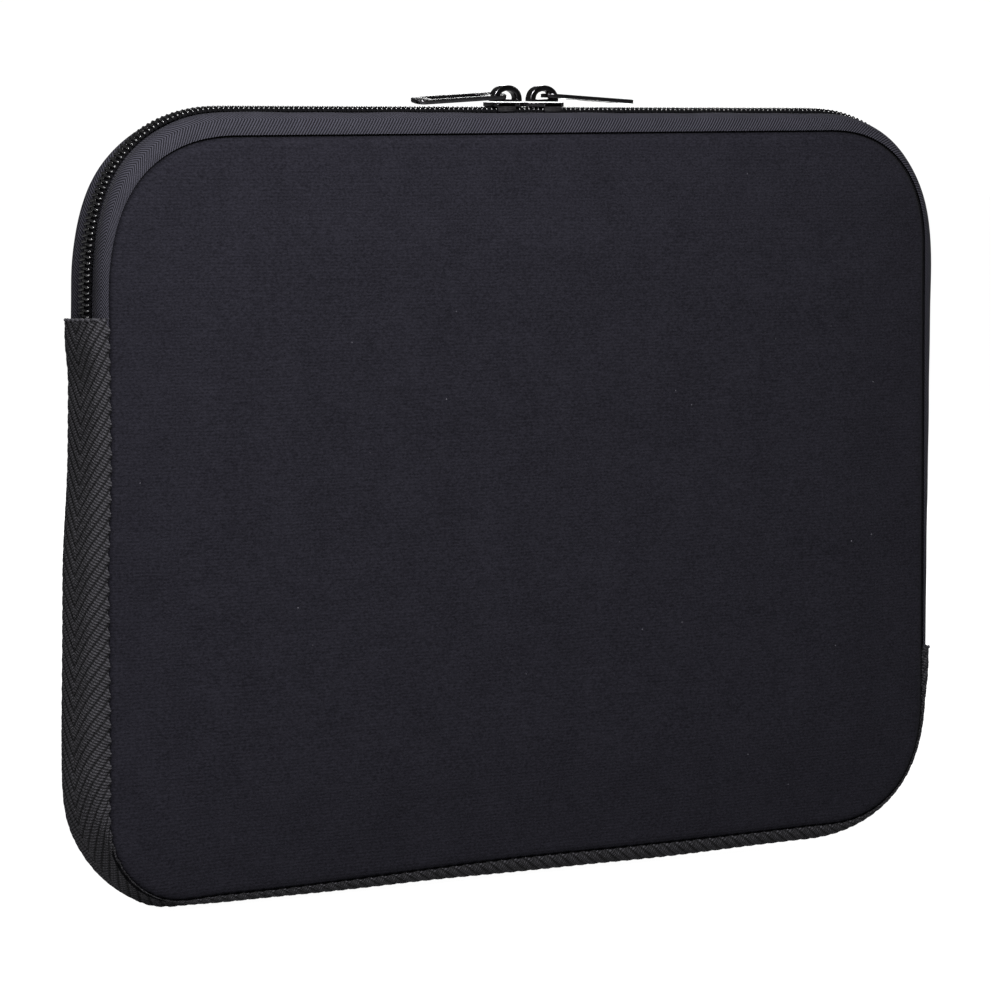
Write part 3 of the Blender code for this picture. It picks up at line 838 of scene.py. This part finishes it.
def add_webbing():
    stations, along = resampled(webbing_run(), WEBBING_BULGE, step=0.00052)
    angles = even_angles(0.0078, 64)
    u, v = np.linspace(0, WEBBING_FLAT, len(angles))[None, :], along[:, None]
    from_end = np.minimum(v, along[-1] - v)
    ribs = twill_ribs(u, v)
    knots = 0.25 * np.sin(2 * math.pi * v / 0.0013) * np.sin(2 * math.pi * (u + 0.85 * v) / 0.0022)
    edge = np.clip(1 - np.minimum(u, WEBBING_FLAT - u) / 0.0022, 0, 1)
    scallop = 0.00070 * edge * np.sin(2 * math.pi * v / RIB_PITCH)
    wobble = 0.00022 * np.sin(v * 61) * np.sin(v * 23 + 1)
    outward = RIB_HEIGHT * (ribs - 1 + knots) + hem_rise(from_end) * np.sin(angles) ** 0.5
    outward += wobble * np.sin(angles) - 0.00025 * edge
    y = -SEAM_HALF_DEPTH * np.cos(angles)[None, :] + scallop * np.sign(u - WEBBING_FLAT / 2)
    outer = placed(stations, WEBBING_BULGE, soft_share(angles)[None, :], outward, y)
    outer[..., 2] -= HEM_TILT * outer[..., 1] * np.clip(1 - from_end / 0.012, 0, 1)
    few = np.linspace(0.05, math.pi - 0.05, 9)
    inside = -(SEAM_HALF_DEPTH - WEBBING_THICKNESS) * np.cos(few)
    inner = placed(stations, WEBBING_BULGE, soft_share(few), -WEBBING_THICKNESS * np.sin(few), inside)
    few_across = np.linspace(0, WEBBING_FLAT, len(few))[None, :]
    # The rib heights go into the layer, and the webbing's colour uses them to paint shade into the grooves.
    places = strip_places(u, v, ribs), strip_places(few_across, v)
    made = slab("edge_webbing_cloth", outer, inner, *places, WEBBING)
    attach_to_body(made, "shell")
    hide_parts("edge_webbing")


def stitch_path(side, middle, end_height):
    """The middle line of a stitch that whips the hem's fold, as Vectors."""
    path = []
    for t in np.linspace(0, 1, 9).tolist():
        y = middle + (t - 0.5) * STITCH_LENGTH
        arch = math.sin(math.pi * t)
        share = float(soft_share(math.acos(max(-1, min(1, -y / SEAM_HALF_DEPTH)))))
        aside = SEAM_HALF_WIDTH + (SIDE_BULGE + 0.0012) * share + 0.0004 * arch
        path.append(Vector((side * aside, y, end_height - 0.0003 - HEM_TILT * y + 0.0006 * (arch - 1))))
    return path


def thread(path):
    """Points round a slightly flat thread along a path, which ends rounded."""
    radius, flatness = 0.00062, 0.8
    points = []
    last = len(path) - 1
    aside = (path[1] - path[0]).normalized().orthogonal()
    for i, centre in enumerate(path):
        tangent = (path[min(i + 1, last)] - path[max(i - 1, 0)]).normalized()
        aside = (aside - tangent * aside.dot(tangent)).normalized()
        r = radius * math.sqrt(max(0.12, 1 - (2 * i / last - 1) ** 8))
        for k in range(STITCH_SIDES):
            turn = 2 * math.pi * k / STITCH_SIDES
            up = tangent.cross(aside) * (r * flatness * math.sin(turn))
            points.append(centre + aside * (r * math.cos(turn)) + up)
    return points


def add_hem_stitches(name, side, end_height):
    """A row of thread loops that whip the hem's fold."""
    points, faces = [], []
    for i in range(STITCHES):
        path = stitch_path(side, (i - (STITCHES - 1) / 2) * STITCH_PITCH, end_height)
        faces += ring_faces(len(path), STITCH_SIDES, len(points))
        points += thread(path)
    places = [(p.x + p.z, p.y, 0) for p in points]
    made = mesh_object(name, points, faces, places, THREAD)
    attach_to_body(made, "shell")


# ---------------------------------------------------------------- zip


TOOTH_PITCH = 0.00212
TOOTH_STEPS = 8  # stations for each tooth
TOOTH_SIDES = 8
TOOTH_LEAN = 0.16
# Down the middle of one loop: (distance from the middle plane, height over the tape, radius)
TOOTH_PROFILE = (
    (0.00300, -0.0001, 0.00034),
    (0.00308, 0.00050, 0.00044),
    (0.00297, 0.00098, 0.00050),
    (0.00258, 0.00122, 0.00052),
    (0.00190, 0.00112, 0.00048),
    (0.00115, 0.00108, 0.00048),
    (0.00060, 0.00118, 0.00056),
    (0.00010, 0.00116, 0.00058),
    (-0.00035, 0.00092, 0.00048),
)


def zip_stations(step):
    return resampled(zip_run(), TAPE_BULGE, step)


def tape_section(y):
    """Share of the bulge and outward offset of the tape at y from the middle plane."""
    share = np.sqrt(np.clip(1 - (y / SEAM_HALF_DEPTH) ** 2, 0, 1))
    lip = np.clip((0.0043 - y) / 0.0012, 0, 1)
    roll = np.clip(1 - ((y - 0.0090) / 0.0040) ** 2, 0, 1)
    outward = 0.0011 * roll - 0.0008 * eased(lip)
    return share, outward


def add_tape(side):
    stations, along = zip_stations(0.0011)
    rounded = SEAM_HALF_DEPTH * np.sin(np.linspace(math.pi / 2 - 0.03, 0.52, 14))
    y = np.concatenate((rounded, np.linspace(0.0060, 0.0006, 16)))
    share, outward = tape_section(y)
    across = lengths_along(np.stack((TOP_BULGE * share + outward, y), axis=1))
    v = along[:, None]
    wobble = 0.00010 * np.sin(v * 90 + 3 * side) + 0.00008 * np.sin(v * 210 + y[None, :] * 300)
    outer = placed(stations, TAPE_BULGE, share, outward + wobble * share, side * y)
    inner_y = np.array([0.0122, 0.0105, 0.0080, 0.0050, 0.0006])
    inner_share, inner_outward = tape_section(inner_y)
    inner = placed(stations, TAPE_BULGE, inner_share, inner_outward - 0.0007, side * inner_y)
    inner_across = np.linspace(0, across[-1], len(inner_y))
    places = (strip_places(u[None, :], v) for u in (across, inner_across))
    made = slab(f"{FACING[side]}_zip_tape_cloth", outer, inner, *places, TAPE)
    attach(made, side)
    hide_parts(f"zip_tape_{FACING[side]}")


def tooth(base, tangent, side):
    """Points of one nylon loop, which leans along the zip, in rings down its profile."""
    outward = Vector((-tangent.z, 0, tangent.x))
    depth = Vector((0, side, 0))
    points = []
    for k, (y, height, radius) in enumerate(TOOTH_PROFILE):
        y0, h0, _ = TOOTH_PROFILE[max(k - 1, 0)]
        y1, h1, _ = TOOTH_PROFILE[min(k + 1, len(TOOTH_PROFILE) - 1)]
        run = Vector((y1 - y0, h1 - h0)).normalized()
        normal = depth * -run.y + outward * run.x
        centre = base + depth * y + outward * height + tangent * (TOOTH_LEAN * (0.002 - y))
        for i in range(TOOTH_SIDES):
            turn = 2 * math.pi * i / TOOTH_SIDES
            aside, up = 1.08 * radius * math.cos(turn), radius * math.sin(turn)
            points.append(centre + tangent * aside + normal * up)
    return points


def add_coil(side):
    """Half of the chain: a loop of nylon for each tooth, half a pitch on from the other half's."""
    stations, along = zip_stations(TOOTH_PITCH / TOOTH_STEPS)
    ridge = ridge_of(stations, TAPE_BULGE)
    tangents = np.gradient(ridge, axis=0)
    tangents /= np.linalg.norm(tangents, axis=1)[:, None]
    first = TOOTH_STEPS // 2 if side < 0 else TOOTH_STEPS
    points, faces, strip = [], [], []
    for index in range(first, len(stations) - 2, TOOTH_STEPS):
        faces += ring_faces(len(TOOTH_PROFILE), TOOTH_SIDES, len(points))
        base = Vector((ridge[index, 0], 0, ridge[index, 1]))
        points += tooth(base, Vector((tangents[index, 0], 0, tangents[index, 1])), side)
        for y, _, _ in TOOTH_PROFILE:
            strip += [(y, along[index], 0.002 * math.pi * i / TOOTH_SIDES) for i in range(TOOTH_SIDES)]
    name = f"{FACING[side]}_coil_teeth"
    made = mesh_object(name, points, faces, strip, COIL, smooth_degrees=70)
    attach(made, side)
    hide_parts(f"zip_coil_{FACING[side]}")


def add_coil_core(side):
    """The stitched cord that runs through the loops and holds them to the tape. It is in its own black,
    which also stands as painted shade in the gaps between the loops.
    """
    stations, along = zip_stations(TOOTH_PITCH / 4)
    y = np.array((0.0030, 0.0030, 0.0022, 0.0006, 0.0001))
    height = np.array((-0.0002, 0.0003, 0.0008, 0.0009, 0.0006))
    foot_y = np.array((0.0028, 0.0001))
    v = along[:, None]
    beads = 0.00016 * np.sin(2 * math.pi * v / TOOTH_PITCH)
    outer = placed(stations, TAPE_BULGE, 1, height[None, :] + beads, side * y)
    inner = placed(stations, TAPE_BULGE, 1, -0.0004, side * foot_y)
    places = (strip_places(u[None, :], v) for u in (y, foot_y))
    made = slab(f"{FACING[side]}_coil_cord", outer, inner, *places, SHADOWED)
    attach(made, side)


# ---------------------------------------------------------------- sliders and pulls


def metal_object(name, bm, bevel, segments, body, node):
    """A metal piece with rounded edges that replaces the frame's node."""
    bmesh.ops.recalc_face_normals(bm, faces=bm.faces)
    sharp = [e for e in bm.edges if len(e.link_faces) == 2 and e.calc_face_angle(0) > math.radians(28)]
    rounding = {"offset": bevel, "segments": segments, "profile": 0.6}
    bmesh.ops.bevel(bm, geom=sharp, affect="EDGES", clamp_overlap=True, **rounding)
    mesh = bpy.data.meshes.new(name)
    bm.to_mesh(mesh)
    bm.free()
    made = dressed(mesh, "rest_place", [v.co for v in mesh.vertices], METAL, 50)
    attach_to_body(made, body)
    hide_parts(node)


def rounded_outline(x0, x1, y0, y1, radius, steps):
    """Points round a rectangle with round corners, without doubles."""
    points = []
    corners = ((x1, y0, -90), (x1, y1, 0), (x0, y1, 90), (x0, y0, 180))
    for x, y, start in corners:
        cx = x - radius if x == x1 else x + radius
        cy = y - radius if y == y1 else y + radius
        for i in range(steps + 1):
            angle = math.radians(start + 90 * i / steps)
            points.append((cx + radius * math.cos(angle), cy + radius * math.sin(angle)))
    return [p for p, q in zip(points, points[1:] + points[:1]) if math.dist(p, q) > 1e-6]


def slot_outline(start, end, half_width, radius, steps):
    return rounded_outline(start, end, -half_width, half_width, radius, steps)


def join_rings(bm, first, second):
    """Faces between two closed rings of vertices."""
    for i in range(len(first)):
        j = (i + 1) % len(first)
        bm.faces.new((first[i], first[j], second[j], second[i]))


def sweep(bm, first, second):
    """A solid between two outlines that have the same number of points."""
    start, end = ([bm.verts.new(point) for point in outline] for outline in (first, second))
    join_rings(bm, start, end)
    bm.faces.new(start)
    bm.faces.new(end)


def prism(bm, outline, low, high):
    sweep(bm, [(x, y, low) for x, y in outline], [(x, y, high) for x, y in outline])


def moved(bm, x, y, z):
    bmesh.ops.translate(bm, verts=bm.verts, vec=(x, y, z))
    return bm


def plate_outline(length, half_width, direction, nose, nose_half_width):
    """A slider plate seen from above: a tapering nose at the meeting point and a rounded tail."""
    tail = length * 0.5
    side = [
        (-tail, nose_half_width * 0.6),
        (-tail + 0.0006, nose_half_width),
        (-tail + nose, half_width),
        (tail - 0.0022, half_width),
        (tail - 0.0006, half_width * 0.86),
        (tail, half_width * 0.6),
    ]
    return [(direction * x, y) for x, y in side] + [(direction * x, -y) for x, y in reversed(side)]


def add_slider(name, direction):
    """The two plates with their flanges, and the web between them inside the chain."""
    low, high = (Vector(c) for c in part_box(f"slider_{name}"))
    length, half_width, lower_half_width = high.x - low.x, 0.0045, 0.0042
    nose, nose_half_width = 0.0066, 0.0016
    bm = bmesh.new()
    prism(bm, plate_outline(length, half_width, direction, nose, nose_half_width), HEIGHT - 0.0003, high.z)
    foot, crest = HEIGHT - COIL_HEIGHT - 0.0004, high.z - 0.0003
    ends = sorted((direction * (-length / 2 + 0.0062), direction * (length / 2 - 0.0016)))
    flange = rounded_outline(*ends, foot, crest, 0.0007, 3)
    for sign in (-1, 1):
        y0, y1 = sorted((sign * (half_width - 0.0009), sign * half_width))
        sweep(bm, [(x, y0, z) for x, z in flange], [(x, y1, z) for x, z in flange])
    lower_top = SEAM_TOP + TOP_BULGE - 0.0017
    lower = plate_outline(length, lower_half_width, direction, nose, nose_half_width)
    prism(bm, lower, lower_top - 0.0010, lower_top)
    web = slot_outline(-length * 0.45, length * 0.45, 0.00034, 0.0003, 2)
    prism(bm, web, lower_top - 0.0002, high.z - 0.0006)
    moved(bm, (low.x + high.x) / 2, 0, 0)
    metal_object(f"{name}_slider_metal", bm, 0.00022, 3, f"{name}_slider", f"slider_{name}")


def add_bridge(name):
    """The arch that holds the pull, a band bent over the slider."""
    low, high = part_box(f"slider_bridge_{name}")
    slider_low, slider_high = (Vector(c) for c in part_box(f"slider_{name}"))
    height, width, half, band, sill, steps = high[2] - low[2], 0.0038, 0.0064, 0.0025, 0.0009, 28
    bm = bmesh.new()
    rings = []
    for reach, base, crest in ((half, 0, height), (half - band, sill, height - band * 0.85)):
        for y in (-width / 2, width / 2):
            ring = []
            for angle in (math.pi * i / steps for i in range(steps + 1)):
                z = low[2] + base + (crest - base) * math.sin(angle) ** 0.8
                ring.append(bm.verts.new((reach * math.cos(angle), y, z)))
            rings.append(ring)
    front_out, back_out, front_in, back_in = rings
    for a, b in ((front_out, back_out), (back_out, back_in), (back_in, front_in), (front_in, front_out)):
        join_rings(bm, a, b)
    moved(bm, (slider_low.x + slider_high.x) / 2, 0, 0)
    metal_object(f"{name}_bridge_metal", bm, 0.0005, 4, f"{name}_slider", f"slider_bridge_{name}")


def add_pull(name, direction, roll_degrees):
    """A flat pull with an eye at the bridge and one long slot."""
    length, width, thickness, bar = 0.0405, 0.0080, 0.0015, 0.0009
    bar_x = sum(c[0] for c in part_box(f"slider_{name}")) / 2 + direction * 0.0016
    pivot = Vector((bar_x, 0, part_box(f"slider_bridge_{name}")[0][2] + 0.00225))
    slope, roll = math.radians(3.3), math.radians(roll_degrees)
    tip = length - bar
    outline = slot_outline(-bar, tip, width / 2, width / 2.5, 8)
    eye = slot_outline(bar, bar + 0.0044, 0.00235, 0.0010, 3)
    long_slot = slot_outline(tip - 0.0300, tip - 0.0062, 0.0020, 0.00199, 6)
    bm = bmesh.new()
    walls = []
    for z in (-thickness / 2, thickness / 2):
        level = []
        for points in (outline, eye, long_slot):
            verts = [bm.verts.new((x, y, z)) for x, y in points]
            level += [bm.edges.new((verts[i], verts[(i + 1) % len(verts)])) for i in range(len(verts))]
        walls.append(level)
    for low, high in zip(*walls):
        bm.faces.new((low.verts[0], low.verts[1], high.verts[1], high.verts[0]))
    for level in walls:
        bmesh.ops.triangle_fill(bm, edges=level, use_beauty=True)
    turned = Matrix.Rotation(slope, 4, "Y") @ Matrix.Rotation(roll, 4, "X")
    bmesh.ops.transform(bm, matrix=turned, verts=bm.verts)
    if direction < 0:
        bmesh.ops.transform(bm, matrix=Matrix.Scale(-1, 4, (1, 0, 0)), verts=bm.verts)
    metal_object(f"{name}_pull_metal", moved(bm, *pivot), 0.0003, 3, f"{name}_pull", f"pull_{name}")


# ---------------------------------------------------------------- studio


def add_area(name, location, target, size, power):
    data = bpy.data.lights.new(name, "AREA")
    data.shape = "RECTANGLE"
    data.size, data.size_y = size
    data.energy = power
    light = linked(name, data)
    light.location = location
    light.visible_camera = False
    light.rotation_euler = (Vector(target) - Vector(location)).to_track_quat("-Z", "Y").to_euler()


# The backdrop looks white to the camera, but gives the sleeve only this much light.
SKY_LIGHT = 0.10
FLOOR_GLOW = 0.15


def two_levels(tree, socket, given, seen):
    """Feeds the socket the level seen by the camera, and the given one for all other rays."""
    level = tree.nodes.new("ShaderNodeMapRange")
    level.inputs["To Min"].default_value = given
    level.inputs["To Max"].default_value = seen
    tree.links.new(tree.nodes.new("ShaderNodeLightPath").outputs["Is Camera Ray"], level.inputs["Value"])
    tree.links.new(level.outputs[0], socket)


def add_studio():
    scene = bpy.context.scene
    scene.view_settings.view_transform = "Standard"
    world = bpy.data.worlds.new("studio")
    world.use_nodes = True
    sky = world.node_tree.nodes["Background"]
    sky.inputs["Color"].default_value = (1, 1, 1, 1)
    two_levels(world.node_tree, sky.inputs["Strength"], SKY_LIGHT, 1.05)
    scene.world = world
    bm = bmesh.new()
    bmesh.ops.create_grid(bm, x_segments=2, y_segments=2, size=6)
    mesh = bpy.data.meshes.new("studio_floor")
    bm.to_mesh(mesh)
    bm.free()
    floor = linked("studio_floor", mesh)
    floor.location.z = -0.0006
    paper = Surface("studio_paper", Roughness=0.9, Specular_IOR_Level=0.1)
    paper.shader.inputs["Base Color"].default_value = (0.30, 0.30, 0.30, 1)
    paper.shader.inputs["Emission Color"].default_value = (1, 1, 1, 1)
    two_levels(paper.tree, paper.shader.inputs["Emission Strength"], FLOOR_GLOW, 0.98)
    mesh.materials.append(paper.material)
    add_area("overhead_light", (-0.25, -0.55, 0.72), (-0.05, 0, 0.16), (0.32, 0.22), 14)
    add_area("back_light", (0.9, 1.2, 0.4), (0, 0, 0.15), (0.6, 0.6), 7)
    add_area("side_light", (-1.5, -0.4, 0.9), (-0.1, 0, 0.15), (0.35, 0.35), 9)


for side in (-1, 1):
    add_panel(side)
    add_pad(side)
    add_lining(side)
    add_binding(side)
    add_allowance(side)
    add_tape(side)
    add_coil(side)
    add_coil_core(side)
add_webbing()
add_hem_stitches("left_hem_stitches", -1, LEFT_ZIP_END)
add_hem_stitches("right_hem_stitches", 1, RIGHT_HEM)
for slider_name, slider_direction, pull_roll in (("left", -1, 10), ("right", 1, -2)):
    add_slider(slider_name, slider_direction)
    add_bridge(slider_name)
    add_pull(slider_name, slider_direction, pull_roll)
add_studio()
